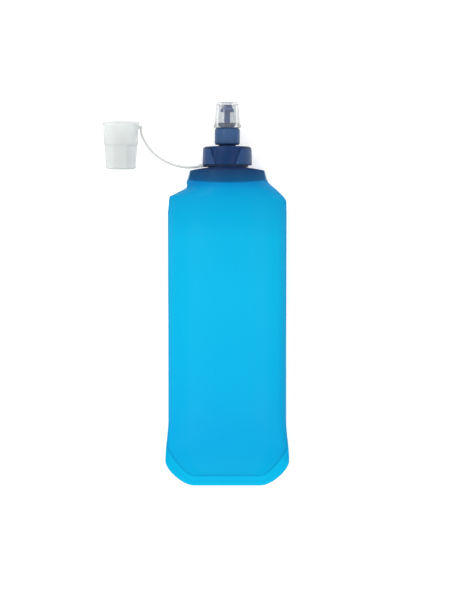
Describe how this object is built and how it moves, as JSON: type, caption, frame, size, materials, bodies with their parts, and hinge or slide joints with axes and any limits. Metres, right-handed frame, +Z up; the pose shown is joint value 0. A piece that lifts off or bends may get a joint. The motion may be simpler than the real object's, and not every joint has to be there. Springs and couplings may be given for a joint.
{
  "type": "folding water bottle",
  "caption": "Soft folding flask lying on its back: a welded film bag with a threaded collar, screw cap, push-pull bite valve and a clear dust cap on a strap.",
  "frame": {"origin": "on the resting surface, under the centreline of the bag's flat back, 97 mm from the bottom edge", "axes": "+Y along the flask towards the mouthpiece, +Z up from the surface the flask lies on, +X to the right seen from above"},
  "size_m": [0.1249, 0.2557, 0.0325],
  "materials": {
    "film": "translucent soft film, satin",
    "navy_plastic": "fine moulded satin",
    "slate_plastic": "fine moulded satin",
    "clear_silicone": "clear silicone, smooth",
    "strap_plastic": "translucent natural plastic",
    "clear_plastic": "clear natural plastic",
    "seal_rubber": "smooth"
  },
  "bodies": {
    "bottle": {"front_film_upper": "film", "back_film_upper": "film", "neck_collar": "navy_plastic"},
    "bag_end": {"front_film_lower": "film", "back_film_lower": "film"},
    "gasket": {"cap_gasket": "seal_rubber"},
    "cap": {"screw_cap": "navy_plastic", "valve_core": "slate_plastic", "nozzle_seal": "seal_rubber"},
    "mouthpiece": {"valve_sleeve": "slate_plastic", "bite_valve": "clear_silicone"},
    "ring": {"tether_ring": "strap_plastic"},
    "strap": {"tether_strap": "strap_plastic"},
    "cover": {"dust_cap": "clear_plastic"}
  },
  "joints": [
    {"name": "cap_lift", "type": "slide", "parent": "bottle", "child": "gasket", "axis": [0, 1, 0], "range_m": [0, 0.03]},
    {"name": "cap_turn", "type": "hinge", "parent": "gasket", "child": "cap", "pos_m": [0, 0.12, 0.0168], "axis": [0, 1, 0], "range_deg": [0, 3601]},
    {"name": "valve_slide", "type": "slide", "parent": "cap", "child": "mouthpiece", "axis": [0, 1, 0], "range_m": [0, 0.004]},
    {"name": "ring_swivel", "type": "hinge", "parent": "bottle", "child": "ring", "pos_m": [0, 0.1164, 0.0168], "axis": [0, 1, 0], "range_deg": [0, 180]},
    {"name": "strap_swing", "type": "hinge", "parent": "ring", "child": "strap", "pos_m": [-0.01779, 0.11663, 0.01437], "axis": [-0.0536, -0.0338, 0.998], "range_deg": [-61.9, 5]},
    {"name": "dust_cap_tilt", "type": "hinge", "parent": "strap", "child": "cover", "pos_m": [-0.05749, 0.14271, 0.01312], "axis": [-0.0536, -0.0338, 0.998], "range_deg": [-118.1, 5]},
    {"name": "bag_fold", "type": "hinge", "parent": "bottle", "child": "bag_end", "pos_m": [0, -0.008, 0.0217], "axis": [-1, 0, 0], "range_deg": [0, 170]}
  ],
  "couplings": [
    {"joint": "cap_turn", "follows": "cap_lift", "rad_per_m": 2094.4}
  ]
}
